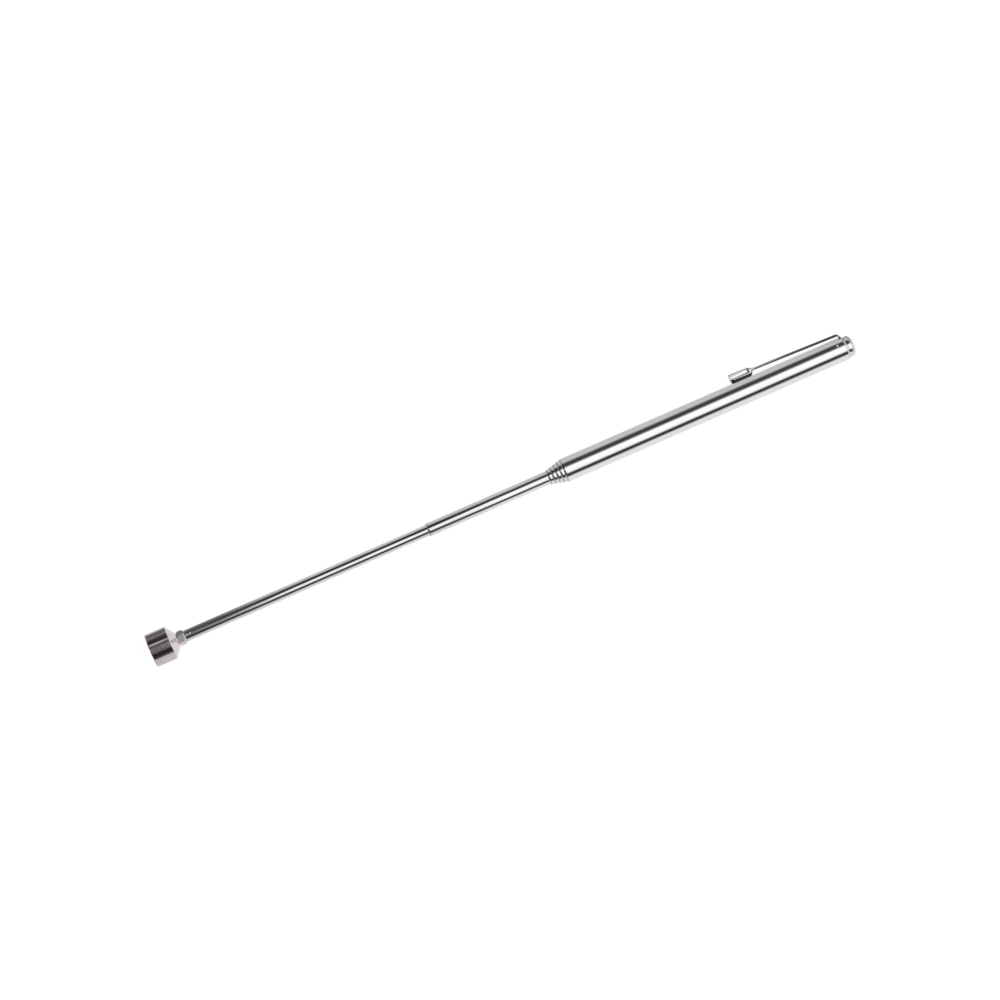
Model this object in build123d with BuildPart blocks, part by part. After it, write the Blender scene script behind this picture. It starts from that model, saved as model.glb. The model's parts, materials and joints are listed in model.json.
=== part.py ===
"""Pocket telescopic magnetic pick-up tool: a barrel with a pocket clip, six nested sections, a magnet head.

Units are millimetres. The tool's axis is X. X = 0 is the magnet's working face, +X runs to the end cap,
and the tool lies on its side with +Z up.
"""
import os
from math import cos, radians, sin

from build123d import *

# Magnet head
HEAD_RADIUS = 5.85
HEAD_LENGTH = 7.4
CONE_END = 9.85
CONE_END_RADIUS = 2.45
CUP_WALL = 0.8
CUP_FLOOR = 6.0
RIM_ROUND = 0.35
MAGNET_RADIUS = 4.5
MAGNET_CHAMFER = 0.25

# Hexagonal coupling between the head and the thinnest section
HEX_END = 12.6
HEX_ACROSS_FLATS = 4.5
HEX_TURN = 14.0
HEX_FACE_INSET = 0.15
HEX_CHAMFER_SLOPE = 1.4
SHANK_RADIUS = 1.5
SHANK_HEAD_RADIUS = 2.1
SHANK_HEAD_THICK = 0.5
SPIGOT_LENGTH = 4.5
SPIGOT_CHAMFER = 0.3
SPIGOT_GROOVE = 0.16
SPIGOT_GROOVE_HALF = 0.45
TUBE_STAKES = (13.6, 14.8)
TUBE_STAKE_BALL = 0.42
TUBE_STAKE_LIFT = 0.26
TUBE_STAKE_REACH = 0.7

# Telescopic tubes: index 0 is the barrel, 1 to 6 the sections from thick to thin
OUTER_RADIUS = (4.25, 3.875, 3.5, 3.125, 2.75, 2.375, 2.0)
WALL = 0.25
SECTION_LENGTH = 101.22
SECTION_6_LENGTH = 101.62
BARREL_MOUTH = 152.16
BARREL_END = 258.5
TAIL_ROLL = 0.7
TAIL_EDGE = 0.2
SHOULDER_X = 257.9
SHOULDER_RADIUS = 3.8
EXPOSED = 1.4
SECTION_5_MOUTH = 101.82
RUN_CLEARANCE = 0.03
LIP_LENGTH = 1.2
LIP_STEP = 0.1
LIP_ROLL = 0.62
LIP_EDGE = 0.03
THIN_ROLL = 0.2
THIN_EDGE = 0.1

# Friction sleeve in its groove at each section's tail
RIM_LENGTH = 0.8
GROOVE_LENGTH = 9.75
BEAD_LENGTH = 0.5
RAISE = 0.095
SLEEVE_BORE_GAP = 0.015
SLEEVE_END_GAP = 0.05
SLEEVE_SPLIT = 0.9

# Tail plugs
PLUG_THICK = 1.2
VENT_RADIUS = 0.5

# Pocket clip
CLIP_ANGLE = 34.0
STRIP_THICK = 0.42
STRIP_HALF = 0.78
PADDLE_HALF = 2.6
CLIP_TIP = 216.9
PADDLE_BACK = 223.9
NECK = 225.9
CLIP_ROOT = 257.6
TIP_HEIGHT = 7.1
ROOT_HEIGHT = 5.8
BEND_ROUND = 0.75
CORNER_ROUND = 0.9
LEG_BOTTOM = 3.15
FOOT_END = 255.7
TROUGH_BACK = 225.0
TROUGH_ROUND = 1.3
TROUGH_GAP = 0.3
NOSE_LENGTH = 0.9
NOSE_RISE = 0.3
SLOT_GAP = 0.15

# End cap
CAP_BUTTON_RADIUS = 3.75
CAP_NECK_RADIUS = 3.5
CAP_NECK_END = 258.95
CAP_DOME_START = 259.8
CAP_DOME_HEIGHT = 1.8
CAP_PLUG_START = 253.8
CAP_PLUG_CHAMFER = 0.3
CAP_STAKE_X = 255.55
CAP_GROOVE = 0.2
CAP_STAKE_BALL = 0.6
CAP_STAKE_LIFT = 0.42
CAP_STAKE_REACH = 0.9
STAKE_WALL = 0.2

NUDGE = 0.02


def bore(k):
    return OUTER_RADIUS[k] - WALL


def mouth(k):
    return {0: BARREL_MOUTH, 5: SECTION_5_MOUTH, 6: HEX_END}.get(k, BARREL_MOUTH - EXPOSED * k)


def tail(k):
    return mouth(k) + (SECTION_6_LENGTH if k == 6 else SECTION_LENGTH)


def sleeve_front(k):
    return tail(k) - RIM_LENGTH - GROOVE_LENGTH


def mouth_roll(k):
    """Back end and front end of the rolled edge at section k's mouth."""
    if k == 6:
        return (mouth(k) + THIN_ROLL, OUTER_RADIUS[k]), (mouth(k), bore(k) + THIN_EDGE)
    return (mouth(k) + LIP_ROLL, OUTER_RADIUS[k]), (mouth(k), OUTER_RADIUS[k + 1] + RUN_CLEARANCE + LIP_EDGE)


def wall_profile(k):
    """Half section of section k without its rolled edge: mouth lip, bore, flared rim, sleeve groove, guide bead."""
    outer = OUTER_RADIUS[k]
    raised = outer + RAISE
    end = tail(k)
    front = sleeve_front(k)
    roll_back, roll_front = mouth_roll(k)
    points = [roll_front]
    if k < 6:
        lip = OUTER_RADIUS[k + 1] + RUN_CLEARANCE
        points += [(mouth(k), lip), (mouth(k) + LIP_LENGTH, lip)]
        points += [(mouth(k) + LIP_LENGTH + LIP_STEP, bore(k))]
    else:
        points += [(mouth(k), bore(k))]
    points += [(end, bore(k)), (end, raised), (end - RIM_LENGTH, raised), (end - RIM_LENGTH, outer)]
    points += [(front, outer), (front, raised), (front - BEAD_LENGTH, raised), (front - BEAD_LENGTH, outer)]
    return points + [roll_back]


def mouth_corners(sketch, x, radius):
    return sketch.vertices().filter_by(lambda v: abs(v.X - x) < 1e-6 and abs(v.Y - radius) < 1e-6)


def around_axis(x, radius, angle):
    """Point at distance x along the tool and the given radius, at an angle from +Y towards +Z."""
    return (x, radius * cos(radians(angle)), radius * sin(radians(angle)))


# Magnet cup: steel pot with a conical back and a hole for the coupling's riveted shank
with BuildPart() as magnet_cup:
    with BuildSketch(Plane.XY) as cup_half:
        with BuildLine():
            Polyline(
                (0, HEAD_RADIUS - CUP_WALL),
                (0, HEAD_RADIUS),
                (HEAD_LENGTH, HEAD_RADIUS),
                (CONE_END, CONE_END_RADIUS),
                (CONE_END, SHANK_RADIUS),
                (CUP_FLOOR + SHANK_HEAD_THICK, SHANK_RADIUS),
                (CUP_FLOOR + SHANK_HEAD_THICK, SHANK_HEAD_RADIUS),
                (CUP_FLOOR, SHANK_HEAD_RADIUS),
                (CUP_FLOOR, HEAD_RADIUS - CUP_WALL),
                close=True,
            )
        make_face()
        fillet(mouth_corners(cup_half, 0, HEAD_RADIUS), RIM_ROUND)
        fillet(mouth_corners(cup_half, HEAD_LENGTH, HEAD_RADIUS), RIM_ROUND / 2)
    revolve(axis=Axis.X)

# Magnet disc, flush with the cup's rim
with BuildPart() as magnet:
    with BuildSketch(Plane.YZ):
        Circle(MAGNET_RADIUS)
    extrude(amount=CUP_FLOOR)
    chamfer(magnet.edges().group_by(Axis.X)[0], MAGNET_CHAMFER)

# Non-magnetic ring that centres the magnet in its cup
with BuildPart() as magnet_spacer:
    with BuildSketch(Plane.YZ.offset(MAGNET_CHAMFER)):
        Circle(HEAD_RADIUS - CUP_WALL)
        Circle(MAGNET_RADIUS, mode=Mode.SUBTRACT)
    extrude(amount=CUP_FLOOR - MAGNET_CHAMFER)

# Hexagonal coupling: shank riveted in the cup, chamfered hexagon, grooved spigot in the tube
hex_corner = HEX_ACROSS_FLATS / 2 / cos(radians(30))
hex_face = HEX_ACROSS_FLATS / 2 - HEX_FACE_INSET
hex_chamfer = (hex_corner + NUDGE - hex_face) * HEX_CHAMFER_SLOPE
with BuildPart() as hex_coupling:
    with BuildSketch(Plane.YZ.offset(CONE_END)):
        RegularPolygon(hex_corner, 6, rotation=HEX_TURN)
    extrude(amount=HEX_END - CONE_END)
    with BuildSketch(Plane.XY):
        with BuildLine():
            Polyline(
                (CONE_END, 0),
                (CONE_END, hex_face),
                (CONE_END + hex_chamfer, hex_corner + NUDGE),
                (HEX_END - hex_chamfer, hex_corner + NUDGE),
                (HEX_END, hex_face),
                (HEX_END, 0),
                close=True,
            )
        make_face()
    revolve(axis=Axis.X, mode=Mode.INTERSECT)
    with BuildSketch(Plane.XY):
        with BuildLine():
            Polyline(
                (CUP_FLOOR, 0),
                (CUP_FLOOR, SHANK_HEAD_RADIUS),
                (CUP_FLOOR + SHANK_HEAD_THICK, SHANK_HEAD_RADIUS),
                (CUP_FLOOR + SHANK_HEAD_THICK, SHANK_RADIUS),
                (CONE_END + NUDGE, SHANK_RADIUS),
                (HEX_END - NUDGE, SHANK_RADIUS),
                (HEX_END - NUDGE, bore(6)),
                (TUBE_STAKES[0] - SPIGOT_GROOVE_HALF, bore(6)),
                (TUBE_STAKES[0], bore(6) - SPIGOT_GROOVE),
                (TUBE_STAKES[0] + SPIGOT_GROOVE_HALF, bore(6)),
                (TUBE_STAKES[1] - SPIGOT_GROOVE_HALF, bore(6)),
                (TUBE_STAKES[1], bore(6) - SPIGOT_GROOVE),
                (TUBE_STAKES[1] + SPIGOT_GROOVE_HALF, bore(6)),
                (HEX_END + SPIGOT_LENGTH - SPIGOT_CHAMFER, bore(6)),
                (HEX_END + SPIGOT_LENGTH, bore(6) - SPIGOT_CHAMFER),
                (HEX_END + SPIGOT_LENGTH, 0),
                close=True,
            )
        make_face()
    revolve(axis=Axis.X)

# Sections 1 to 6
sections = {}
for k in range(1, 7):
    with BuildPart() as section:
        with BuildSketch(Plane.XY):
            with BuildLine():
                Polyline(*wall_profile(k))
                TangentArc(*mouth_roll(k), tangent=(-1, 0))
            make_face()
        revolve(axis=Axis.X)
        if k == 6:
            centres = [
                around_axis(x, OUTER_RADIUS[6] + TUBE_STAKE_LIFT, side) for x in TUBE_STAKES for side in (90, -90)
            ]
            with Locations(*centres):
                Sphere(TUBE_STAKE_BALL + STAKE_WALL)
            with BuildSketch(Plane.YZ.offset(TUBE_STAKES[0] - TUBE_STAKE_REACH)):
                Circle(OUTER_RADIUS[6] + 1)
                Circle(OUTER_RADIUS[6], mode=Mode.SUBTRACT)
            extrude(amount=TUBE_STAKES[1] - TUBE_STAKES[0] + 2 * TUBE_STAKE_REACH, mode=Mode.SUBTRACT)
            with Locations(*centres):
                Sphere(TUBE_STAKE_BALL, mode=Mode.SUBTRACT)
    sections[k] = section

# Plugs that close the tails of sections 1 to 5 and stop the next section when the tool is pushed shut
plugs = {}
for k in range(1, 6):
    with BuildPart() as plug:
        with BuildSketch(Plane.YZ.offset(tail(k) - PLUG_THICK)):
            Circle(bore(k))
            Circle(VENT_RADIUS, mode=Mode.SUBTRACT)
        extrude(amount=PLUG_THICK)
    plugs[k] = plug

# Split friction sleeves, one round each section's tail
sleeves = {}
for k in range(1, 7):
    with BuildPart() as sleeve:
        with BuildSketch(Plane.YZ.offset(sleeve_front(k) + SLEEVE_END_GAP)):
            Circle(OUTER_RADIUS[k] + RAISE)
            Circle(OUTER_RADIUS[k] + SLEEVE_BORE_GAP, mode=Mode.SUBTRACT)
            with Locations((0, -OUTER_RADIUS[k])):
                Rectangle(SLEEVE_SPLIT, 1, mode=Mode.SUBTRACT)
        extrude(amount=GROOVE_LENGTH - 2 * SLEEVE_END_GAP)
    sleeves[k] = sleeve

# Barrel: rolled mouth, swaged tail, slot for the clip's leg and four stakes that hold the end cap
clip_out = (0, cos(radians(CLIP_ANGLE)), sin(radians(CLIP_ANGLE)))
clip_across = (0, -sin(radians(CLIP_ANGLE)), cos(radians(CLIP_ANGLE)))
side_plane = Plane(origin=(0, 0, 0), x_dir=(1, 0, 0), z_dir=clip_across)
plan_plane = Plane(origin=(0, 0, 0), x_dir=(1, 0, 0), z_dir=clip_out)
stake_centres = [
    around_axis(CAP_STAKE_X, OUTER_RADIUS[0] + CAP_STAKE_LIFT, CLIP_ANGLE + turn) for turn in (45, 135, 225, 315)
]
with BuildPart() as barrel:
    with BuildSketch(Plane.XY):
        with BuildLine():
            TangentArc(*mouth_roll(0), tangent=(-1, 0))
            Polyline(
                mouth_roll(0)[1],
                (BARREL_MOUTH, OUTER_RADIUS[1] + RUN_CLEARANCE),
                (BARREL_MOUTH + LIP_LENGTH, OUTER_RADIUS[1] + RUN_CLEARANCE),
                (BARREL_MOUTH + LIP_LENGTH + LIP_STEP, bore(0)),
                (SHOULDER_X, bore(0)),
                (BARREL_END, SHOULDER_RADIUS),
                (BARREL_END, SHOULDER_RADIUS + TAIL_EDGE),
            )
            TangentArc(
                (BARREL_END - TAIL_ROLL, OUTER_RADIUS[0]),
                (BARREL_END, SHOULDER_RADIUS + TAIL_EDGE),
                tangent=(1, 0),
            )
            Line((BARREL_END - TAIL_ROLL, OUTER_RADIUS[0]), mouth_roll(0)[0])
        make_face()
    revolve(axis=Axis.X)
    with Locations(*stake_centres):
        Sphere(CAP_STAKE_BALL + STAKE_WALL)
    with BuildSketch(Plane.YZ.offset(CAP_STAKE_X - CAP_STAKE_REACH)):
        Circle(OUTER_RADIUS[0] + 2)
        Circle(OUTER_RADIUS[0], mode=Mode.SUBTRACT)
    extrude(amount=2 * CAP_STAKE_REACH, mode=Mode.SUBTRACT)
    with Locations(*stake_centres):
        Sphere(CAP_STAKE_BALL, mode=Mode.SUBTRACT)
    with BuildSketch(plan_plane.offset(LEG_BOTTOM)):
        with Locations((CLIP_ROOT - STRIP_THICK / 2, 0)):
            Rectangle(STRIP_THICK + 2 * SLOT_GAP, 2 * (STRIP_HALF + SLOT_GAP))
    extrude(amount=OUTER_RADIUS[0], mode=Mode.SUBTRACT)

# End cap: grooved plug held in the barrel's swaged tail, domed button, notch for the clip's leg and foot
with BuildPart() as end_cap:
    with BuildSketch(Plane.XY):
        with BuildLine():
            Polyline(
                (CAP_DOME_START + CAP_DOME_HEIGHT, 0),
                (CAP_PLUG_START, 0),
                (CAP_PLUG_START, bore(0) - CAP_PLUG_CHAMFER),
                (CAP_PLUG_START + CAP_PLUG_CHAMFER, bore(0)),
                (CAP_STAKE_X - CAP_STAKE_BALL, bore(0)),
                (CAP_STAKE_X, bore(0) - CAP_GROOVE),
                (CAP_STAKE_X + CAP_STAKE_BALL, bore(0)),
                (SHOULDER_X, bore(0)),
                (BARREL_END, SHOULDER_RADIUS),
                (BARREL_END, CAP_NECK_RADIUS),
                (CAP_NECK_END, CAP_NECK_RADIUS),
                (CAP_NECK_END, CAP_BUTTON_RADIUS),
                (CAP_DOME_START, CAP_BUTTON_RADIUS),
            )
            EllipticalCenterArc(
                (CAP_DOME_START, 0), CAP_DOME_HEIGHT, CAP_BUTTON_RADIUS, start_angle=0, arc_size=90
            )
        make_face()
    revolve(axis=Axis.X)
    with BuildSketch(plan_plane.offset(LEG_BOTTOM - SLOT_GAP)):
        with Locations(((FOOT_END - SLOT_GAP + CLIP_ROOT + SLOT_GAP) / 2, 0)):
            Rectangle(CLIP_ROOT - FOOT_END + 2 * SLOT_GAP, 2 * (STRIP_HALF + SLOT_GAP))
    extrude(amount=2, mode=Mode.SUBTRACT)

# Height of the strip's outer face above the tool's axis
rise = (ROOT_HEIGHT - TIP_HEIGHT) / (CLIP_ROOT - CLIP_TIP)


def strip_top(x):
    return TIP_HEIGHT + rise * (x - CLIP_TIP)


trough_height = strip_top(PADDLE_BACK) - STRIP_THICK / 2
trough_radius = trough_height - OUTER_RADIUS[0] - TROUGH_GAP
trough_axis = Axis(side_plane.from_local_coords((CLIP_TIP, trough_height)), (1, 0, 0))
# Pressed trough under the paddle, open at the tip: its outside and, a strip's thickness inside it, the hollow
bulges = []
for inset in (0, STRIP_THICK):
    start = CLIP_TIP - inset
    end = TROUGH_BACK - inset
    bottom = trough_height - trough_radius + inset
    turn = TROUGH_ROUND - inset
    with BuildPart() as bulge:
        with BuildSketch(side_plane):
            with BuildLine():
                Polyline(
                    (end, bottom + turn),
                    (end, trough_height),
                    (start, trough_height),
                    (start, bottom + NOSE_RISE),
                    (CLIP_TIP + NOSE_LENGTH, bottom),
                    (end - turn, bottom),
                )
                TangentArc((end - turn, bottom), (end, bottom + turn), tangent=(1, 0))
            make_face()
        revolve(axis=trough_axis)
        if inset == 0:
            with BuildSketch(side_plane):
                with Locations(((start + end) / 2, trough_height + TIP_HEIGHT / 2)):
                    Rectangle(end - start + 1, TIP_HEIGHT)
            extrude(amount=TIP_HEIGHT, both=True, mode=Mode.SUBTRACT)
    bulges.append(bulge)

# Pocket clip: sprung strip bent down through the barrel's slot, widening to a paddle pressed into a trough
with BuildPart() as pocket_clip:
    with BuildSketch(side_plane) as clip_side:
        with BuildLine():
            Polyline(
                (CLIP_TIP, strip_top(CLIP_TIP)),
                (CLIP_ROOT, ROOT_HEIGHT),
                (CLIP_ROOT, LEG_BOTTOM),
                (FOOT_END, LEG_BOTTOM),
                (FOOT_END, LEG_BOTTOM + STRIP_THICK),
                (CLIP_ROOT - STRIP_THICK, LEG_BOTTOM + STRIP_THICK),
                (CLIP_ROOT - STRIP_THICK, strip_top(CLIP_ROOT) - STRIP_THICK),
                (CLIP_TIP, strip_top(CLIP_TIP) - STRIP_THICK),
                close=True,
            )
        make_face()
        fillet(mouth_corners(clip_side, CLIP_ROOT, ROOT_HEIGHT), BEND_ROUND)
        fillet(
            mouth_corners(clip_side, CLIP_ROOT - STRIP_THICK, strip_top(CLIP_ROOT) - STRIP_THICK),
            BEND_ROUND - STRIP_THICK,
        )
    extrude(amount=PADDLE_HALF, both=True)
    with BuildSketch(plan_plane):
        with BuildLine():
            Line((CLIP_TIP + CORNER_ROUND, PADDLE_HALF), (PADDLE_BACK, PADDLE_HALF))
            Spline(
                (PADDLE_BACK, PADDLE_HALF),
                ((PADDLE_BACK + NECK) / 2, (PADDLE_HALF + STRIP_HALF) / 2),
                (NECK, STRIP_HALF),
                tangents=[(1, 0), (1, 0)],
            )
            Line((NECK, STRIP_HALF), (CLIP_ROOT + 1, STRIP_HALF))
            Line((CLIP_ROOT + 1, STRIP_HALF), (CLIP_ROOT + 1, -STRIP_HALF))
            Line((CLIP_ROOT + 1, -STRIP_HALF), (NECK, -STRIP_HALF))
            Spline(
                (NECK, -STRIP_HALF),
                ((PADDLE_BACK + NECK) / 2, -(PADDLE_HALF + STRIP_HALF) / 2),
                (PADDLE_BACK, -PADDLE_HALF),
                tangents=[(-1, 0), (-1, 0)],
            )
            Line((PADDLE_BACK, -PADDLE_HALF), (CLIP_TIP + CORNER_ROUND, -PADDLE_HALF))
            RadiusArc(
                (CLIP_TIP + CORNER_ROUND, -PADDLE_HALF), (CLIP_TIP, CORNER_ROUND - PADDLE_HALF), CORNER_ROUND
            )
            Line((CLIP_TIP, CORNER_ROUND - PADDLE_HALF), (CLIP_TIP, PADDLE_HALF - CORNER_ROUND))
            RadiusArc(
                (CLIP_TIP, PADDLE_HALF - CORNER_ROUND), (CLIP_TIP + CORNER_ROUND, PADDLE_HALF), CORNER_ROUND
            )
        make_face()
    extrude(amount=TIP_HEIGHT + 1, mode=Mode.INTERSECT)
    add(bulges[0].part)
    add(bulges[1].part, mode=Mode.SUBTRACT)

nodes = {
    "barrel": barrel,
    "end_cap": end_cap,
    "pocket_clip": pocket_clip,
    "hex_coupling": hex_coupling,
    "magnet_cup": magnet_cup,
    "magnet": magnet,
    "magnet_spacer": magnet_spacer,
}
nodes.update({f"section_{k}": sections[k] for k in sections})
nodes.update({f"tail_plug_{k}": plugs[k] for k in plugs})
nodes.update({f"friction_sleeve_{k}": sleeves[k] for k in sleeves})

os.makedirs("parts", exist_ok=True)
for name, built in nodes.items():
    built.part.label = name
    export_step(built.part, f"parts/{name}.step")
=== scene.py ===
"""Telescopic magnetic pick-up tool on a white bench: fine turned and sheet-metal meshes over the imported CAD.

The tool's axis is X, from the magnet's face to the end cap. Lengths are metres. Places come from the boxes
of the CAD's nodes, and sizes from the values below.
"""
import json
import math

import bmesh
import bpy
import numpy as np
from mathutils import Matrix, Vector


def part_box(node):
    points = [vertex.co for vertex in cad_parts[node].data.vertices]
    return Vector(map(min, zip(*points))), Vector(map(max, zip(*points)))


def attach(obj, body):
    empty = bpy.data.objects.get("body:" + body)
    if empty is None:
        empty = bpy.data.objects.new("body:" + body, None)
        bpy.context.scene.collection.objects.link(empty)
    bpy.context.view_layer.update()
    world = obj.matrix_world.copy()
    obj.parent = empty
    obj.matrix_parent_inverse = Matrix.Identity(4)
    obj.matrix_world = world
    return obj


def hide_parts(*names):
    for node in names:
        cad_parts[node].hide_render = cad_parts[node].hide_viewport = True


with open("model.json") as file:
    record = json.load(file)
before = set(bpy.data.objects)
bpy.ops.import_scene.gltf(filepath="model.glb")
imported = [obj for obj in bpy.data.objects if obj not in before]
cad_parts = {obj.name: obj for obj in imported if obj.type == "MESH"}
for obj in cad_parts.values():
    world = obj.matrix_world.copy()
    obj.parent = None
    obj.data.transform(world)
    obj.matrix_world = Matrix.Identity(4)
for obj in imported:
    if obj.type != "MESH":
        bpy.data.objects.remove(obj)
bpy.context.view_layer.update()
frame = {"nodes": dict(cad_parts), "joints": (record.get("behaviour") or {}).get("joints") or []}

MM = 0.001
SECTIONS = range(1, 7)

# Tube walls, lips, beads and rims, as in the CAD
WALL = 0.25 * MM
RAISE = 0.095 * MM
RUN_CLEARANCE = 0.03 * MM
LIP_LENGTH = 1.2 * MM
LIP_STEP = 0.1 * MM
LIP_ROLL = 0.62 * MM
LIP_EDGE = 0.03 * MM
THIN_ROLL = 0.2 * MM
THIN_EDGE = 0.1 * MM
TAIL_ROLL = 0.7 * MM
TAIL_EDGE = 0.2 * MM
SHOULDER = 3.8 * MM
SHOULDER_LENGTH = 0.6 * MM
RIM_LENGTH = 0.8 * MM
GROOVE_LENGTH = 9.75 * MM
BEAD_LENGTH = 0.5 * MM

# Stake marks in the thinnest tube and round the barrel's tail, each the mark of a ball held off the wall
TUBE_STAKES = (1.0 * MM, 2.2 * MM)
TUBE_STAKE_BALL = 0.42 * MM
TUBE_STAKE_LIFT = 0.26 * MM
TUBE_STAKE_REACH = 0.4 * MM
CAP_STAKE_FROM_TAIL = 2.95 * MM
CAP_STAKE_BALL = 0.6 * MM
CAP_STAKE_LIFT = 0.42 * MM
CAP_STAKE_REACH = 0.5 * MM
CAP_STAKE_ANGLES = (45, 135, 225, 315)
DENT_ROW_STEP = 0.075 * MM

# End cap
BUTTON_RADIUS = 3.75 * MM
DOME_HEIGHT = 1.8 * MM
NECK_RADIUS = 3.5 * MM
NECK_LENGTH = 0.45 * MM
PLUG_CHAMFER = 0.3 * MM

# Magnet cup and magnet
CUP_WALL = 0.8 * MM
HEAD_LENGTH = 7.4 * MM
CONE_END_RADIUS = 2.45 * MM
RIM_ROUNDS = (0.08 * MM, 0.35 * MM)
CONE_ROUNDS = (0.18 * MM, 0.12 * MM)
MAGNET_CHAMFER = 0.25 * MM

# Hexagonal coupling, with its riveted shank in front and its spigot behind
HEX_FLATS = 4.5 * MM
HEX_TURN = math.radians(14)
HEX_FACE_INSET = 0.15 * MM
HEX_CHAMFER_SLOPE = 1.4
HEX_EDGE = 0.03 * MM
SHANK_RADIUS = 1.5 * MM
SHANK_HEAD_RADIUS = 2.1 * MM
SHANK_HEAD_THICK = 0.5 * MM
SPIGOT_GROOVE = 0.16 * MM
SPIGOT_GROOVE_HALF = 0.45 * MM
SPIGOT_CHAMFER = 0.3 * MM

# Pocket clip
STRIP_THICK = 0.42 * MM
STRIP_HALF = 0.78 * MM
PADDLE_HALF = 2.6 * MM
CORNER_ROUND = 0.9 * MM
BEND_ROUND = 0.75 * MM
FOOT_ROUND = 0.25 * MM
TIP_HEIGHT = 7.1 * MM
ROOT_HEIGHT = 5.8 * MM
LEG_BOTTOM = 3.15 * MM
FOOT_LENGTH = 1.9 * MM
PADDLE_LENGTH = 7.0 * MM
NECK_FROM_TIP = 9.0 * MM
TROUGH_LENGTH = 8.1 * MM
TROUGH_ROUND = 1.3 * MM
TROUGH_BEND = 0.3 * MM
TROUGH_GAP = 0.3 * MM
NOSE_LENGTH = 0.9 * MM
NOSE_RISE = 0.3 * MM
SLOT_GAP = 0.15 * MM
SLOT_HALF_COLUMNS = 9

# The clip's mesh: columns across it, points in a rounded edge, steps along it, least flange and edge height
CLIP_COLUMNS = 96
EDGE_POINTS = 7
PADDLE_STEP = 0.06 * MM
NECK_STEP = 0.07 * MM
STRIP_STEP = 0.6 * MM
LEG_STEP = 0.3 * MM
WALL_BLEND = 0.8 * MM
LEAST_FLANGE = 0.06 * MM
LEAST_EDGE = 0.02

# Point spacing that keeps smooth shading local at a corner
SUPPORT_GAP = 0.05 * MM

# Bench top's half width and gap, and the camera's aim from the tool's middle
BENCH_HALF = 3.0
BENCH_GAP = 0.02 * MM
AIM_X = -2.24 * MM
AIM_Y = -0.43 * MM


def span(node):
    """(front x, back x, outer radius) of a turned CAD node."""
    low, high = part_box(node)
    return low[0], high[0], (high[2] - low[2]) / 2


# ---------------------------------------------------------------- meshes


def new_object(name, vertices, faces, sharp=math.radians(40)):
    mesh = bpy.data.meshes.new(name)
    mesh.from_pydata([tuple(map(float, v)) for v in vertices], [], faces)
    mesh.update()
    bm = bmesh.new()
    bm.from_mesh(mesh)
    bmesh.ops.recalc_face_normals(bm, faces=bm.faces)
    bm.to_mesh(mesh)
    bm.free()
    mesh.polygons.foreach_set("use_smooth", [True] * len(mesh.polygons))
    mesh.set_sharp_from_angle(angle=sharp)
    obj = bpy.data.objects.new(name, mesh)
    bpy.context.scene.collection.objects.link(obj)
    return obj


def rounded(points, radii, steps=7):
    """The closed outline with the corners in radii, {index: radius}, rounded."""
    out = []
    count = len(points)
    for i, p in enumerate(points):
        p = np.array(p, float)
        if i not in radii:
            out.append(tuple(p))
            continue
        a = np.array(points[i - 1], float) - p
        b = np.array(points[(i + 1) % count], float) - p
        a /= np.linalg.norm(a)
        b /= np.linalg.norm(b)
        half = math.acos(np.clip(a @ b, -1, 1)) / 2
        reach = radii[i] / math.tan(half)
        centre = p + (a + b) / np.linalg.norm(a + b) * radii[i] / math.sin(half)
        start, end = p + a * reach - centre, p + b * reach - centre
        turn = math.acos(np.clip(start @ end / radii[i] ** 2, -1, 1))
        for s in range(steps + 1):
            f = s / steps
            w0 = math.sin((1 - f) * turn) / math.sin(turn)
            w1 = math.sin(f * turn) / math.sin(turn)
            out.append(tuple(centre + w0 * start + w1 * end))
    return out


def supported(points, closed, gap=SUPPORT_GAP):
    """The outline with a point close to each end of its long straight runs."""
    out = []
    count = len(points)
    for i in range(count if closed else count - 1):
        p = np.array(points[i], float)
        q = np.array(points[(i + 1) % count], float)
        out.append(tuple(p))
        length = np.linalg.norm(q - p)
        if length > 6 * gap:
            out.append(tuple(p + (q - p) * gap / length))
            out.append(tuple(q - (q - p) * gap / length))
    if not closed:
        out.append(tuple(points[-1]))
    return out


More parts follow.
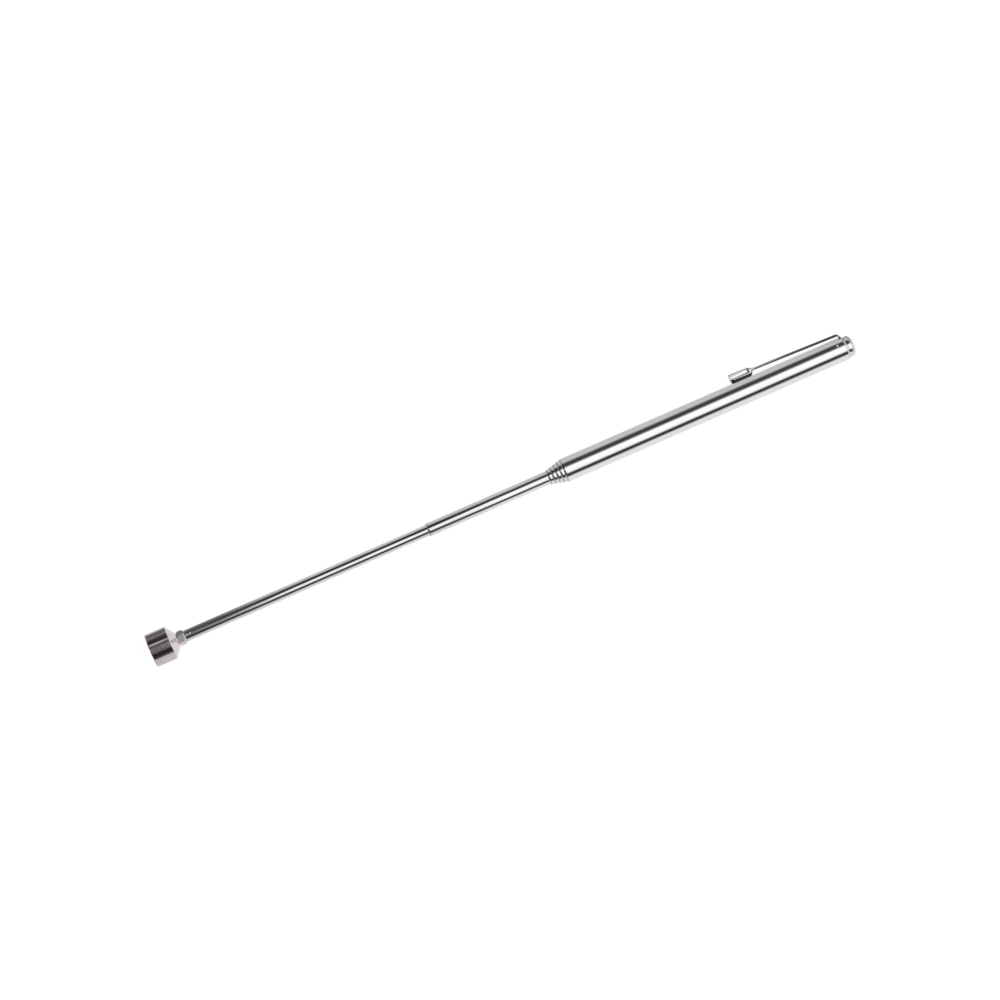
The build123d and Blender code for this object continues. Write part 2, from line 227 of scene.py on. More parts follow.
def lathe(name, outline, segments=160, closed=True, dents=(), slot=None, turn=0.0):
    """Turns an (x, r) outline round X. An open outline starts and ends on the axis.
    dents: (x, angle, ball radius, ball centre's height over the surface, surface radius) of each stake mark.
    slot: (front x, back x, half columns) cut through the wall at the angle turn."""
    rows = len(outline)
    angles = [turn + 2 * math.pi * c / segments for c in range(segments)]
    vertices, index = [], {}
    for i, (x, r) in enumerate(outline):
        if not closed and i in (0, rows - 1):
            vertices.append((x, 0, 0))
            for c in range(segments):
                index[i, c] = len(vertices) - 1
            continue
        for c, angle in enumerate(angles):
            radius = r
            for dx, at, ball, lift, outside in dents:
                if abs(x - dx) > ball:
                    continue
                off = (angle - at + math.pi) % (2 * math.pi) - math.pi
                rho = (x - dx) ** 2 + (outside * off) ** 2
                if rho < ball**2 - lift**2:
                    radius = radius - (math.sqrt(ball**2 - rho) - lift)
            index[i, c] = len(vertices)
            vertices.append((x, radius * math.cos(angle), radius * math.sin(angle)))
    faces = []
    cut = []
    for i in range(rows if closed else rows - 1):
        j = (i + 1) % rows
        for c in range(segments):
            d = (c + 1) % segments
            if slot:
                middle = (outline[i][0] + outline[j][0]) / 2
                near = c < slot[2] or c >= segments - slot[2]
                if near and slot[0] < middle < slot[1] and abs(outline[i][0] - outline[j][0]) > 1e-7:
                    cut.append((i, j, c, d))
                    continue
            ring = [index[i, c], index[i, d], index[j, d], index[j, c]]
            faces.append(tuple(dict.fromkeys(ring)))
    if slot:
        outer_rows = sorted({(i, j) for i, j, _, _ in cut}, key=lambda p: -outline[p[0]][1])
        (a, b), (p, q) = outer_rows[0], outer_rows[1]
        if (outline[a][0] < outline[b][0]) == (outline[p][0] < outline[q][0]):
            raise ValueError("the slot's walls run the same way")
        columns = list(range(-slot[2], slot[2] + 1))
        for c, d in zip(columns, columns[1:]):
            c, d = c % segments, d % segments
            faces.append((index[a, c], index[a, d], index[q, d], index[q, c]))
            faces.append((index[b, c], index[b, d], index[p, d], index[p, c]))
        for c in (columns[0] % segments, columns[-1] % segments):
            faces.append((index[a, c], index[b, c], index[p, c], index[q, c]))
    return new_object(name, vertices, faces)


def roll(tangent, end, steps=14):
    """Arc that leaves the outer surface at tangent, an (x, r) point, and ends at end."""
    run = end[0] - tangent[0]
    drop = tangent[1] - end[1]
    radius = (run * run + drop * drop) / (2 * drop)
    full = math.asin(abs(run) / radius)
    side = math.copysign(1, run)
    arc = []
    for i in range(steps + 1):
        t = full * i / steps
        arc.append((tangent[0] + side * radius * math.sin(t), tangent[1] - radius * (1 - math.cos(t))))
    return arc


def between(low, high, step):
    count = max(1, math.ceil((high - low) / step))
    return [low + (high - low) * i / count for i in range(count + 1)]


def tube_outline(k):
    """Closed (x, r) outline of section k's wall."""
    start, end, rim = span(f"section_{k}")
    outer = rim - RAISE
    inner = outer - WALL
    lip = inner if k == 6 else span(f"section_{k + 1}")[2] - RAISE + RUN_CLEARANCE
    front = end - RIM_LENGTH - GROOVE_LENGTH
    run, edge = (THIN_ROLL, THIN_EDGE) if k == 6 else (LIP_ROLL, LIP_EDGE)
    points = [(start, lip)] + roll((start + run, outer), (start, lip + edge))[::-1]
    points += [(front - BEAD_LENGTH, outer), (front - BEAD_LENGTH, rim)]
    points += [(front, rim), (front, outer), (end - RIM_LENGTH, outer), (end - RIM_LENGTH, rim)]
    points += [(end, rim), (end, inner)]
    if k < 6:
        points += [(start + LIP_LENGTH + LIP_STEP, inner), (start + LIP_LENGTH, lip)]
    return supported(points, True)


def build_tubes():
    built = {}
    for k in SECTIONS:
        outline = tube_outline(k)
        dents = []
        if k == 6:
            start, end, rim = span("section_6")
            outer = rim - RAISE
            stakes = [start + x for x in TUBE_STAKES]
            for x in stakes:
                for side in (1, -1):
                    dents.append((x, side * math.pi / 2, TUBE_STAKE_BALL, TUBE_STAKE_LIFT, outer))
            fine = between(stakes[0] - TUBE_STAKE_REACH, stakes[1] + TUBE_STAKE_REACH, DENT_ROW_STEP)
            at = next(i for i, p in enumerate(outline) if p[0] > fine[-1] and p[1] > outer - 1e-8)
            outline[at:at] = [(x, outer) for x in fine]
            outline += [(x, outer - WALL) for x in reversed(fine)]
        built[k] = lathe(f"section_{k}_tube", outline, segments=176, dents=dents)
    return built


def build_barrel(angle):
    start, end, outer = span("barrel")
    inner = outer - WALL
    lip = span("section_1")[2] - RAISE + RUN_CLEARANCE
    root = span("pocket_clip")[1]
    slot = (root - STRIP_THICK - SLOT_GAP, root + SLOT_GAP)
    stake_x = end - CAP_STAKE_FROM_TAIL
    fine = between(stake_x - CAP_STAKE_REACH, stake_x + CAP_STAKE_REACH, DENT_ROW_STEP) + [slot[0]]
    outline = [(start, lip)] + roll((start + LIP_ROLL, outer), (start, lip + LIP_EDGE))[::-1]
    outline += [(x, outer) for x in fine] + [(slot[1], outer)]
    outline += roll((end - TAIL_ROLL, outer), (end, SHOULDER + TAIL_EDGE)) + [(end, SHOULDER)]
    outline += [(end - SHOULDER_LENGTH, inner), (slot[1], inner)] + [(x, inner) for x in reversed(fine)]
    outline += [(start + LIP_LENGTH + LIP_STEP, inner), (start + LIP_LENGTH, lip)]
    kept = []
    for i, p in enumerate(outline):
        kept.append(p)
        q = outline[(i + 1) % len(outline)]
        length = math.dist(p, q)
        in_slot = slot[0] - 1e-7 <= min(p[0], q[0]) and max(p[0], q[0]) <= slot[1] + 1e-7
        if length > 6 * SUPPORT_GAP and not in_slot:
            for f in (SUPPORT_GAP / length, 1 - SUPPORT_GAP / length):
                kept.append((p[0] + (q[0] - p[0]) * f, p[1] + (q[1] - p[1]) * f))
    stakes = []
    for turn in CAP_STAKE_ANGLES:
        stakes.append((stake_x, angle + math.radians(turn), CAP_STAKE_BALL, CAP_STAKE_LIFT, outer))
    cut = (*slot, SLOT_HALF_COLUMNS)
    return lathe("barrel_tube", kept, segments=240, dents=stakes, slot=cut, turn=angle)


def build_cap():
    start, end, plug = span("end_cap")
    face = span("barrel")[1]
    top = end - DOME_HEIGHT
    points = [(end, 0)]
    for t in np.linspace(math.pi / 2, 0, 40)[1:]:
        points.append((top + DOME_HEIGHT * math.sin(t), BUTTON_RADIUS * math.cos(t)))
    points += [(face + NECK_LENGTH, BUTTON_RADIUS), (face + NECK_LENGTH, NECK_RADIUS), (face, NECK_RADIUS)]
    points += [(face, SHOULDER), (face - SHOULDER_LENGTH, plug), (start + PLUG_CHAMFER, plug)]
    points += [(start, plug - PLUG_CHAMFER), (start, 0)]
    return lathe("end_cap_button", supported(points, False), segments=192, closed=False)


def build_cup():
    start, end, radius = span("magnet_cup")
    bore = radius - CUP_WALL
    floor = span("magnet")[1]
    seat = floor + SHANK_HEAD_THICK
    points = [(start, bore), (start, radius), (start + HEAD_LENGTH, radius), (end, CONE_END_RADIUS)]
    points += [(end, SHANK_RADIUS), (seat, SHANK_RADIUS), (seat, SHANK_HEAD_RADIUS)]
    points += [(floor, SHANK_HEAD_RADIUS), (floor, bore)]
    outline = rounded(points, dict(enumerate(RIM_ROUNDS + CONE_ROUNDS)))
    return lathe("magnet_cup_body", supported(outline, True), segments=224)


def build_magnet():
    start, end, radius = span("magnet")
    points = [(start, 0), (start, radius - MAGNET_CHAMFER), (start + MAGNET_CHAMFER, radius)]
    points += [(end, radius), (end, 0)]
    return lathe("magnet_disc", supported(points, False), closed=False)


def build_hex(back):
    """Chamfered hexagon with a turned shank in front and a grooved spigot behind, in one closed skin."""
    start, end, _ = span("hex_coupling")
    front = span("magnet_cup")[1]
    flats = HEX_FLATS / 2
    segments = 6 * 24
    turn = math.pi / 2 + HEX_TURN
    spigot = span("section_6")[2] - RAISE - WALL
    before = [(start, 0), (start, SHANK_HEAD_RADIUS), (start + SHANK_HEAD_THICK, SHANK_HEAD_RADIUS)]
    before += [(start + SHANK_HEAD_THICK, SHANK_RADIUS), (front, SHANK_RADIUS)]
    after = [(back, spigot)]
    for stake in TUBE_STAKES:
        x = back + stake
        after += [(x - SPIGOT_GROOVE_HALF, spigot), (x, spigot - SPIGOT_GROOVE)]
        after += [(x + SPIGOT_GROOVE_HALF, spigot)]
    after += [(end - SPIGOT_CHAMFER, spigot), (end, spigot - SPIGOT_CHAMFER), (end, 0)]
    rows = [("ring", p) for p in supported(before, False)]
    rows += [("hex", name) for name in ("face0", "cham0", "flat0", "flat1", "cham1", "face1")]
    rows += [("ring", p) for p in supported(after, False)]
    vertices, index = [], {}
    for i, (kind, value) in enumerate(rows):
        for c in range(segments):
            angle = turn + math.pi / 6 + 2 * math.pi * c / segments
            local = (angle - turn + math.pi / 6) % (math.pi / 3) - math.pi / 6
            if kind == "ring":
                x, radius = value
            else:
                corner = flats / math.cos(local)
                reach = (corner - flats + HEX_FACE_INSET) * HEX_CHAMFER_SLOPE
                x, radius = {
                    "face0": (front, flats - HEX_FACE_INSET),
                    "cham0": (front + reach, corner),
                    "flat0": (front + reach + HEX_EDGE, corner),
                    "flat1": (back - reach - HEX_EDGE, corner),
                    "cham1": (back - reach, corner),
                    "face1": (back, flats - HEX_FACE_INSET),
                }[value]
            if radius == 0:
                if c == 0:
                    vertices.append((x, 0, 0))
                index[i, c] = len(vertices) - 1
                continue
            index[i, c] = len(vertices)
            vertices.append((x, radius * math.cos(angle), radius * math.sin(angle)))
    faces = []
    for i in range(len(rows) - 1):
        for c in range(segments):
            d = (c + 1) % segments
            ring = [index[i, c], index[i, d], index[i + 1, d], index[i + 1, c]]
            faces.append(tuple(dict.fromkeys(ring)))
    return new_object("hex_coupling_body", vertices, faces, sharp=math.radians(25))


def smooth(t):
    t = min(1.0, max(0.0, t))
    return t * t * (3 - 2 * t)


def spread(length, columns):
    """Places along a length, close together at both ends and even between."""
    ends = STRIP_THICK / 2 * (1 - np.cos(np.linspace(0, math.pi / 2, EDGE_POINTS)))
    inner = np.linspace(ends[-1], length - ends[-1], columns + 3 - 2 * EDGE_POINTS)[1:-1]
    return np.r_[ends, inner, length - ends[::-1]]


def trough_curve(half_width, radius, sink, columns):
    """(across, depth) points of the sheet's middle: flanges, small bends and a half-round trough between."""
    bend = min(TROUGH_BEND, radius / 2)
    foot = math.sqrt((radius + bend) ** 2 - bend**2)
    lean = math.atan2(bend, foot)
    half = [(-max(half_width, foot + LEAST_FLANGE), 0.0)]
    for t in np.linspace(math.pi / 2, lean, 9):
        half.append((-foot + bend * math.cos(t), bend - bend * math.sin(t)))
    for t in np.linspace(lean, math.pi / 2, 28):
        half.append((-radius * math.cos(t), sink + radius * math.sin(t)))
    curve = np.array(half + [(-t, d) for t, d in half[-2::-1]])
    length = np.r_[0, np.cumsum(np.linalg.norm(np.diff(curve, axis=0), axis=1))]
    along = spread(length[-1], columns)
    return np.c_[np.interp(along, length, curve[:, 0]), np.interp(along, length, curve[:, 1])]


def build_clip(out, across):
    """Bent sheet-metal strip: rows of points across the sheet's middle, given thickness and full-round edges.
    A trough is pressed into the paddle, open at the tip. Heights run along out, widths along across."""
    tip, root, _ = span("pocket_clip")
    barrel = span("barrel")[2]
    slope = (ROOT_HEIGHT - TIP_HEIGHT) / (root - tip)
    half = STRIP_THICK / 2
    foot_end, foot_height = root - FOOT_LENGTH, LEG_BOTTOM + half
    bend = BEND_ROUND - half
    corner = (root - half, ROOT_HEIGHT - half)
    paddle_back, neck, back = tip + PADDLE_LENGTH, tip + NECK_FROM_TIP, tip + TROUGH_LENGTH - half
    axis_height = TIP_HEIGHT + slope * (paddle_back - tip) - half
    deep = axis_height - barrel - TROUGH_GAP - half
    turn = TROUGH_ROUND - half
    columns = CLIP_COLUMNS

    def strip_height(x):
        return TIP_HEIGHT - half + slope * (x - tip)

    def half_width(x):
        narrowing = smooth((x - paddle_back) / (neck - paddle_back))
        w = STRIP_HALF + (PADDLE_HALF - STRIP_HALF) * (1 - narrowing)
        if x < tip + CORNER_ROUND:
            w -= CORNER_ROUND - math.sqrt(max(0.0, CORNER_ROUND**2 - (tip + CORNER_ROUND - x) ** 2))
        return w

    # The trough's rows, its end wall, then the flat rows of the neck, the strip, the leg and the foot
    rows = []
    trough = []
    for x in between(tip, back - turn, PADDLE_STEP):
        trough.append((x, deep - NOSE_RISE * max(0.0, 1 - (x - tip) / NOSE_LENGTH)))
    for t in np.linspace(0, math.pi / 2, 12)[1:]:
        trough.append((back - turn + turn * math.sin(t), deep - turn + turn * math.cos(t)))
    for x, radius in trough:
        curve = trough_curve(half_width(x), radius, strip_height(x) - axis_height, columns)
        rows.append([(x, strip_height(x) - d, t) for t, d in curve])
    wall = np.array(rows[-1])[:, 2]
    for f in (0.35, 0.7):
        rows.append([(x, h + (strip_height(x) - h) * f, t) for x, h, t in rows[len(trough) - 1]])
    rows.append([(back, strip_height(back), t) for t in wall])
    line = []
    stations = between(back + 0.26 * MM, neck, NECK_STEP)
    stations += between(neck + 0.3 * MM, corner[0] - bend, STRIP_STEP)
    for x in stations:
        blend = smooth((x - back) / WALL_BLEND)
        w = half_width(x)
        places = wall * (w / wall[-1]) * (1 - blend) + (spread(2 * w, columns) - w) * blend
        rows.append([(x, strip_height(x), t) for t in places])
    for a in np.linspace(0, math.pi / 2, 12)[1:]:
        line.append((corner[0] - bend + bend * math.sin(a), corner[1] - bend + bend * math.cos(a)))
    for h in between(foot_height + FOOT_ROUND, corner[1] - bend - 0.1 * MM, LEG_STEP)[::-1]:
        line.append((corner[0], h))
    for a in np.linspace(0, math.pi / 2, 6)[1:]:
        h = foot_height + FOOT_ROUND * (1 - math.sin(a))
        line.append((corner[0] - FOOT_ROUND * (1 - math.cos(a)), h))
    for x in between(foot_end, corner[0] - 0.3 * MM, LEG_STEP)[::-1]:
        line.append((x, foot_height))
    even = spread(2 * STRIP_HALF, columns) - STRIP_HALF
    rows += [[(x, h, t) for t in even] for x, h in line]

    middle = np.array(rows)
    normal = np.cross(np.gradient(middle, axis=1), np.gradient(middle, axis=0))
    normal /= np.linalg.norm(normal, axis=2)[..., None]
    if normal[-1, columns // 2, 1] > 0:
        normal = -normal
    steps = np.linalg.norm(np.diff(middle, axis=1), axis=2)
    from_edge = np.minimum(np.c_[np.zeros(len(rows)), np.cumsum(steps, axis=1)],
                           np.c_[np.cumsum(steps[:, ::-1], axis=1)[:, ::-1], np.zeros(len(rows))])
    inside = np.clip(half - from_edge, 0, half)
    lift = np.maximum(np.sqrt(half**2 - inside**2), LEAST_EDGE * half)
    vertices, index = [], {}
    for side in (1, -1):
        skin = middle + normal * lift[..., None] * side
        skin[..., 0] = np.maximum(skin[..., 0], tip)
        for i in range(len(rows)):
            for c in range(columns + 1):
                x, h, t = map(float, skin[i, c])
                index[i, side, c] = len(vertices)
                vertices.append(Vector((x, 0, 0)) + out * h + across * t)
    faces = []
    last = len(rows) - 1
    for i in range(last):
        j = i + 1
        for c in range(columns):
            d = c + 1
            faces.append((index[i, 1, c], index[i, 1, d], index[j, 1, d], index[j, 1, c]))
            faces.append((index[i, -1, c], index[j, -1, c], index[j, -1, d], index[i, -1, d]))
        for c in (0, columns):
            faces.append((index[i, 1, c], index[j, 1, c], index[j, -1, c], index[i, -1, c]))
    for i in (0, last):
        for c in range(columns):
            faces.append((index[i, 1, c], index[i, 1, c + 1], index[i, -1, c + 1], index[i, -1, c]))
    clip = new_object("pocket_clip_strip", vertices, faces)
    # The second material, painted shade: near-black metal on the paddle's underside and, behind it, on the
    # strip's rounded edges, standing in for the shade under the paddle and along the strip
    edges = (inside > 0).ravel()
    per_side = len(vertices) // 2
    for number, corners in enumerate(faces):
        if vertices[corners[0]].x < neck:
            dark = all(v >= per_side for v in corners)
        else:
            dark = all(edges[v % per_side] for v in corners)
        clip.data.polygons[number].material_index = int(dark)
    # The photograph's barrel doesn't mirror the clip
    clip.visible_glossy = False
    return clip


# ---------------------------------------------------------------- materials


def node_material(name, metallic, colour, roughness):
    material = bpy.data.materials.new(name)
    material.use_nodes = True
    shader = material.node_tree.nodes["Principled BSDF"]
    shader.inputs["Metallic"].default_value = metallic
    shader.inputs["Base Color"].default_value = (*colour, 1)
    shader.inputs["Roughness"].default_value = roughness
    return material, material.node_tree, shader


def metal(name, colour, darker, roughness, vary, line_scale, bump):
    """Polished metal: clouds break up the base colour, and fine lines the roughness and the surface."""
    material, tree, shader = node_material(name, 1.0, colour, roughness)
    add, link = tree.nodes.new, tree.links.new
    coordinates = add("ShaderNodeTexCoord")
    clouds = add("ShaderNodeTexNoise")
    clouds.inputs["Scale"].default_value = 140
    clouds.inputs["Detail"].default_value = 4
    link(coordinates.outputs["Object"], clouds.inputs["Vector"])
    ramp = add("ShaderNodeValToRGB")
    ramp.color_ramp.elements[0].position = 0.3
    ramp.color_ramp.elements[0].color = (*darker, 1)
    ramp.color_ramp.elements[1].position = 0.7
    ramp.color_ramp.elements[1].color = (*colour, 1)
    link(clouds.outputs["Fac"], ramp.inputs["Fac"])
    link(ramp.outputs["Color"], shader.inputs["Base Color"])
    scale = add("ShaderNodeMapping")
    scale.inputs["Scale"].default_value = line_scale
    link(coordinates.outputs["Object"], scale.inputs["Vector"])
    lines = add("ShaderNodeTexNoise")
    lines.inputs["Scale"].default_value = 1.0
    lines.inputs["Detail"].default_value = 3
    link(scale.outputs["Vector"], lines.inputs["Vector"])
    rough = add("ShaderNodeMapRange")
    rough.inputs["From Min"].default_value = 0.3
    rough.inputs["From Max"].default_value = 0.7
    rough.inputs["To Min"].default_value = max(0.02, roughness - vary)
    rough.inputs["To Max"].default_value = roughness + vary
    link(lines.outputs["Fac"], rough.inputs["Value"])
    link(rough.outputs["Result"], shader.inputs["Roughness"])
    relief = add("ShaderNodeBump")
    relief.inputs["Strength"].default_value = bump
    relief.inputs["Distance"].default_value = 0.02 * MM
    link(lines.outputs["Fac"], relief.inputs["Height"])
    link(relief.outputs["Normal"], shader.inputs["Normal"])
    return material


def build_materials():
    # Noise scales along X, Y and Z: lines along the tool, lines round it, and grain
    drawn = (90.0, 5200.0, 5200.0)
    turned = (9000.0, 300.0, 300.0)
    ground = (3000.0, 3000.0, 3000.0)
    return {
        "tube": metal(
            "chrome_tube", (0.72, 0.71, 0.715), (0.66, 0.65, 0.655), 0.07, 0.03, drawn, 0.03),
        "barrel": metal(
            "chrome_barrel", (0.735, 0.718, 0.735), (0.69, 0.672, 0.688), 0.08, 0.035, drawn, 0.03),
        "cap": metal(
            "chrome_cap", (0.74, 0.73, 0.73), (0.69, 0.68, 0.68), 0.07, 0.03, turned, 0.02),
        "clip": metal(
            "plated_spring_steel", (0.70, 0.69, 0.70), (0.64, 0.63, 0.64), 0.09, 0.035, drawn, 0.05),
        # Painted shade: near-black, rougher metal for the paddle's underside and the strip's edges, standing
        # in for the shade there
        "clip_painted_shade": metal(
            "painted_shade_steel", (0.05, 0.048, 0.05), (0.03, 0.029, 0.031), 0.28, 0.06, drawn, 0.06),
        "cup": metal(
            "chrome_cup", (0.745, 0.66, 0.673), (0.69, 0.605, 0.62), 0.08, 0.03, turned, 0.03),
        "hex": metal(
            "plated_hexagon", (0.74, 0.715, 0.72), (0.68, 0.655, 0.66), 0.14, 0.05, turned, 0.05),
        "magnet": metal(
            "nickel_magnet", (0.46, 0.45, 0.44), (0.36, 0.35, 0.35), 0.32, 0.08, ground, 0.12),
        "brass": metal(
            "brass", (0.72, 0.53, 0.24), (0.60, 0.42, 0.18), 0.28, 0.06, turned, 0.08),
        "bronze": metal(
            "phosphor_bronze", (0.66, 0.42, 0.22), (0.52, 0.31, 0.16), 0.26, 0.06, drawn, 0.08),
        "resin": resin(),
    }


def resin():
    material, tree, shader = node_material("potting_resin", 0.0, (0.03, 0.03, 0.034), 0.55)
    add, link = tree.nodes.new, tree.links.new
    coordinates = add("ShaderNodeTexCoord")
    grain = add("ShaderNodeTexNoise")
    grain.inputs["Scale"].default_value = 1800
    grain.inputs["Detail"].default_value = 5
    link(coordinates.outputs["Object"], grain.inputs["Vector"])
    ramp = add("ShaderNodeValToRGB")
    ramp.color_ramp.elements[0].color = (0.018, 0.018, 0.020, 1)
    ramp.color_ramp.elements[1].color = (0.06, 0.06, 0.066, 1)
    link(grain.outputs["Fac"], ramp.inputs["Fac"])
    link(ramp.outputs["Color"], shader.inputs["Base Color"])
    relief = add("ShaderNodeBump")
    relief.inputs["Strength"].default_value = 0.3
    relief.inputs["Distance"].default_value = 0.03 * MM
    link(grain.outputs["Fac"], relief.inputs["Height"])
    link(relief.outputs["Normal"], shader.inputs["Normal"])
    return material


def dress(obj, *materials):
    """Sets the slots in place, because clearing them would lose the faces' material numbers."""
    slots = obj.data.materials
    for number, material in enumerate(materials):
        if number < len(slots):
            slots[number] = material
        else:
            slots.append(material)


# ---------------------------------------------------------------- studio

# What the chrome mirrors. A zone's stops are (degrees round X from the camera's direction towards -Y, grey).
# Beyond the head
FRONT = [
    (-180, 1.0), (-130, 0.5), (-84, 0.45), (-66, 0.02), (-24, 0.02), (-16, 0.5), (-2, 0.5),
    (8, 0.04), (62, 0.02), (74, 0.6), (110, 0.5), (180, 1.0),
]
# Over the magnet cup: a dark card with one narrow lamp
HEAD = [
    (-180, 0.9), (-150, 0.75), (-135, 0.5), (-124, 0.16), (-110, 0.13), (-96, 0.18), (-82, 0.26),
    (-72, 0.04), (-48, 0.03), (-41, 0.1), (-38, 0.75), (-29, 0.75), (-26, 0.08), (-17, 0.06),
    (-6, 0.15), (22, 0.155), (31, 0.03), (64, 0.03), (72, 0.6), (90, 0.66), (130, 0.68), (180, 0.9),
]
# Over the coupling and the start of the thinnest section: the dark card alone
NECK = [
    (-180, 0.9), (-135, 0.6), (-124, 0.2), (-110, 0.13), (-98, 0.16), (-85, 0.2), (-60, 0.06),
    (-40, 0.05), (-20, 0.14), (-8, 0.27), (6, 0.27), (18, 0.09), (28, 0.01), (49, 0.01), (61, 0.31),
    (74, 0.7), (88, 0.9), (180, 1.0),
]
# Over the rest of the thinnest section: the overhead soft box, narrow, between dark flags
THIN = [
    (-180, 1.15), (-130, 0.8), (-95, 0.8), (-80, 0.62), (-70, 0.4), (-58, 0.08), (-50, 0.02),
    (-32, 0.015), (-24, 0.1), (-14, 1.0), (-8, 1.3), (16, 1.3), (23, 0.9), (31, 0.12), (37, 0.02),
    (53, 0.02), (62, 0.2), (73, 0.62), (85, 0.9), (180, 1.1),
]
# Over the barrel: the soft box at its full width, between its flags
OVERHEAD = [
    (-95, 0.78), (-80, 0.74), (-72, 0.6), (-62, 0.15), (-54, 0.07), (-40, 0.06), (-32, 0.1),
    (-27, 0.25), (-20, 0.85), (-14, 1.35), (-8, 1.45), (26, 1.35), (33, 0.95), (40, 0.3),
    (45, 0.05), (58, 0.035), (64, 0.12), (70, 0.45), (78, 0.95), (90, 1.1), (120, 1.02),
    (180, 1.15),
]
MAIN = [(-180, 1.15), (-150, 1.0), (-130, 0.74), (-110, 0.7)] + OVERHEAD
# The same, with a dark card low down on the clip's side, placed for the clip's sloping strip to mirror
CLIP = [(-180, 1.15), (-162, 1.0), (-152, 0.12), (-110, 0.1), (-104, 0.5)] + OVERHEAD
# Beyond the tail
TAIL = [
    (-180, 1.0), (-145, 0.95), (-128, 0.25), (-105, 0.2), (-88, 0.45), (-70, 0.68), (-44, 0.62),
    (-20, 0.95), (34, 1.05), (50, 0.6), (60, 0.65), (74, 0.85), (125, 0.8), (145, 0.95), (180, 1.0),
]
# From head to tail: (stops, X of the mirrored direction where the zone starts, X where it has taken over)
ZONES = [
    (FRONT, 0, 0),
    (HEAD, -0.12, -0.07),
    (NECK, -0.05, -0.0475),
    (THIN, -0.031, -0.009),
    (MAIN, 0.045, 0.075),
    (CLIP, 0.1975, 0.2),
    (TAIL, 0.27, 0.36),
]


def ramp_node(tree, stops, low=-180.0, high=180.0):
    """Colour ramp over an angle, from (degrees, grey) stops. Returns its input, in radians, and colour."""
    scale = tree.nodes.new("ShaderNodeMapRange")
    scale.inputs["From Min"].default_value = math.radians(low)
    scale.inputs["From Max"].default_value = math.radians(high)
    ramp = tree.nodes.new("ShaderNodeValToRGB")
    ramp.color_ramp.interpolation = "LINEAR"
    elements = ramp.color_ramp.elements
    elements[0].position = (stops[0][0] - low) / (high - low)
    elements[1].position = (stops[-1][0] - low) / (high - low)
    for degrees, _ in stops[1:-1]:
        elements.new((degrees - low) / (high - low))
    for element, (_, grey) in zip(elements, stops):
        element.color = (grey, grey, grey, 1)
    tree.links.new(scale.outputs["Result"], ramp.inputs["Fac"])
    return scale.inputs["Value"], ramp.outputs["Color"]


def studio(lean):
    """World of soft boxes, dark flags and grey card that run along the tool, changing along it by ZONES.
    lean is the camera's tilt round X from straight up towards -Y, in radians."""
    world = bpy.data.worlds.new("studio")
    bpy.context.scene.world = world
    world.use_nodes = True
    tree = world.node_tree
    add, link = tree.nodes.new, tree.links.new
    tree.nodes.clear()
    output = add("ShaderNodeOutputWorld")
    background = add("ShaderNodeBackground")
    link(background.outputs["Background"], output.inputs["Surface"])
    coordinates = add("ShaderNodeTexCoord")
    parts = add("ShaderNodeSeparateXYZ")
    link(coordinates.outputs["Generated"], parts.inputs["Vector"])
    flip = add("ShaderNodeMath")
    flip.operation = "MULTIPLY"
    flip.inputs[1].default_value = -1
    link(parts.outputs["Y"], flip.inputs[0])
    round_x = add("ShaderNodeMath")
    round_x.operation = "ARCTAN2"
    link(flip.outputs[0], round_x.inputs[0])
    link(parts.outputs["Z"], round_x.inputs[1])
    angle = add("ShaderNodeMath")
    angle.operation = "SUBTRACT"
    link(round_x.outputs[0], angle.inputs[0])
    angle.inputs[1].default_value = lean
    colour = None
    for stops, low, high in ZONES:
        into, made = ramp_node(tree, stops)
        link(angle.outputs[0], into)
        if colour is None:
            colour = made
            continue
        edge = add("ShaderNodeMapRange")
        edge.interpolation_type = "SMOOTHSTEP"
        edge.inputs["From Min"].default_value = low
        edge.inputs["From Max"].default_value = high
        link(parts.outputs["X"], edge.inputs["Value"])
        mix = add("ShaderNodeMix")
        mix.data_type = "RGBA"
        link(edge.outputs["Result"], mix.inputs["Factor"])
        link(colour, mix.inputs["A"])
        link(made, mix.inputs["B"])
        colour = mix.outputs["Result"]
    link(colour, background.inputs["Color"])
    return world


def bench():
    """White bench top under the head's back rim and the barrel's tail, glowing enough to lose its shadows."""
    head = span("magnet_cup")
    tail = span("barrel")
    rest_x, rest_z = head[0] + HEAD_LENGTH, -head[2]
    rise = (-tail[2] - rest_z) / (tail[1] - rest_x)
    corners = []
    for x, y in ((-1, -1), (1, -1), (1, 1), (-1, 1)):
        x, y = x * BENCH_HALF, y * BENCH_HALF
        corners.append((x, y, rest_z + rise * (x - rest_x) - BENCH_GAP))
    floor = new_object("bench_top", corners, [(0, 1, 2, 3)])
    material, tree, shader = node_material("white_bench", 0.0, (0.5, 0.5, 0.5), 0.9)
    add, link = tree.nodes.new, tree.links.new
    coordinates = add("ShaderNodeTexCoord")
    grain = add("ShaderNodeTexNoise")
    grain.inputs["Scale"].default_value = 40
    link(coordinates.outputs["Object"], grain.inputs["Vector"])
    tone = add("ShaderNodeMapRange")
    tone.inputs["To Min"].default_value = 0.94
    tone.inputs["To Max"].default_value = 0.97
    link(grain.outputs["Fac"], tone.inputs["Value"])
    shader.inputs["Base Color"].default_value = (0.12, 0.12, 0.12, 1)
    shader.inputs["Emission Color"].default_value = (1, 1, 1, 1)
    link(tone.outputs["Result"], shader.inputs["Emission Strength"])
    dress(floor, material)
    # The lowest stops of each zone stand in for the bench in the chrome
    floor.visible_glossy = False


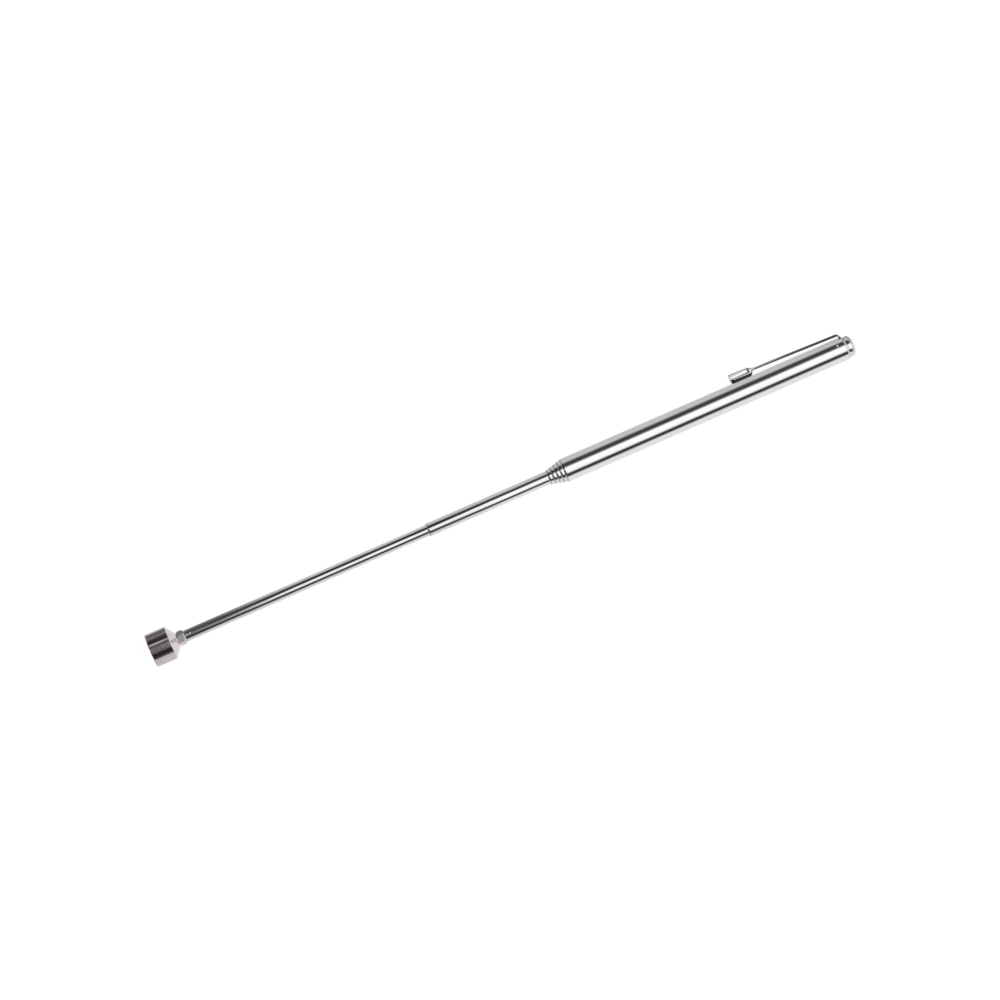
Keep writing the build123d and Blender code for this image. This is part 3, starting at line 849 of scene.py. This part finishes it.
def camera(azimuth, elevation, distance, lens):
    """Camera aimed near the tool's middle. Azimuth turns from -Y towards +X, both angles in degrees.
    Returns the direction from the aim to the camera."""
    data = bpy.data.cameras.new("camera")
    data.lens = lens
    data.sensor_width = 36
    data.clip_start = 0.01
    data.clip_end = 20
    obj = bpy.data.objects.new("camera", data)
    bpy.context.scene.collection.objects.link(obj)
    a, e = math.radians(azimuth), math.radians(elevation)
    back = Vector((math.sin(a) * math.cos(e), -math.cos(a) * math.cos(e), math.sin(e)))
    low, high = span("magnet_cup")[0], span("end_cap")[1]
    target = Vector(((low + high) / 2 + AIM_X, AIM_Y, 0))
    obj.location = target + back * distance
    obj.rotation_euler = back.to_track_quat("Z", "Y").to_euler()
    bpy.context.scene.camera = obj
    return back


# ---------------------------------------------------------------- assembly

flex = next(j for j in frame["joints"] if j["name"] == "clip_flex")
across = -Vector(flex["axis"])
out = across.cross(Vector((1, 0, 0)))
clip_angle = math.atan2(out.z, out.y)
looks = build_materials()

tubes = build_tubes()
for k, tube in tubes.items():
    dress(tube, looks["tube"])
    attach(tube, f"section_{k}")
    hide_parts(f"section_{k}")

hexagon_back = span("section_6")[0]
pieces = [
    (build_barrel(clip_angle), ("barrel",), "barrel", "barrel", "chromed_tube"),
    (build_cap(), ("cap",), "end_cap", "barrel", "chromed_cap"),
    # The clip's second material is painted shade on the paddle's underside and the strip's edges
    (build_clip(out, across), ("clip", "clip_painted_shade"), "pocket_clip", "pocket_clip", "plated_spring_steel"),
    (build_cup(), ("cup",), "magnet_cup", "section_6", "chromed_cup"),
    (build_magnet(), ("magnet",), "magnet", "section_6", "magnet_face"),
    (build_hex(hexagon_back), ("hex",), "hex_coupling", "section_6", "polished_steel"),
]
for obj, names, node, body, slot in pieces:
    dress(obj, *(looks[name] for name in names))
    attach(obj, body)
    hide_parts(node)

for name, node in frame["nodes"].items():
    if name.startswith("friction_sleeve"):
        dress(node, looks["bronze"])
    elif name.startswith("tail_plug"):
        dress(node, looks["brass"])
    elif name == "magnet_spacer":
        dress(node, looks["resin"])

back = camera(azimuth=-23.94, elevation=80.0, distance=1.0014, lens=106.0)
studio(math.atan2(-back.y, back.z))
bench()
bpy.context.scene.view_settings.view_transform = "Standard"
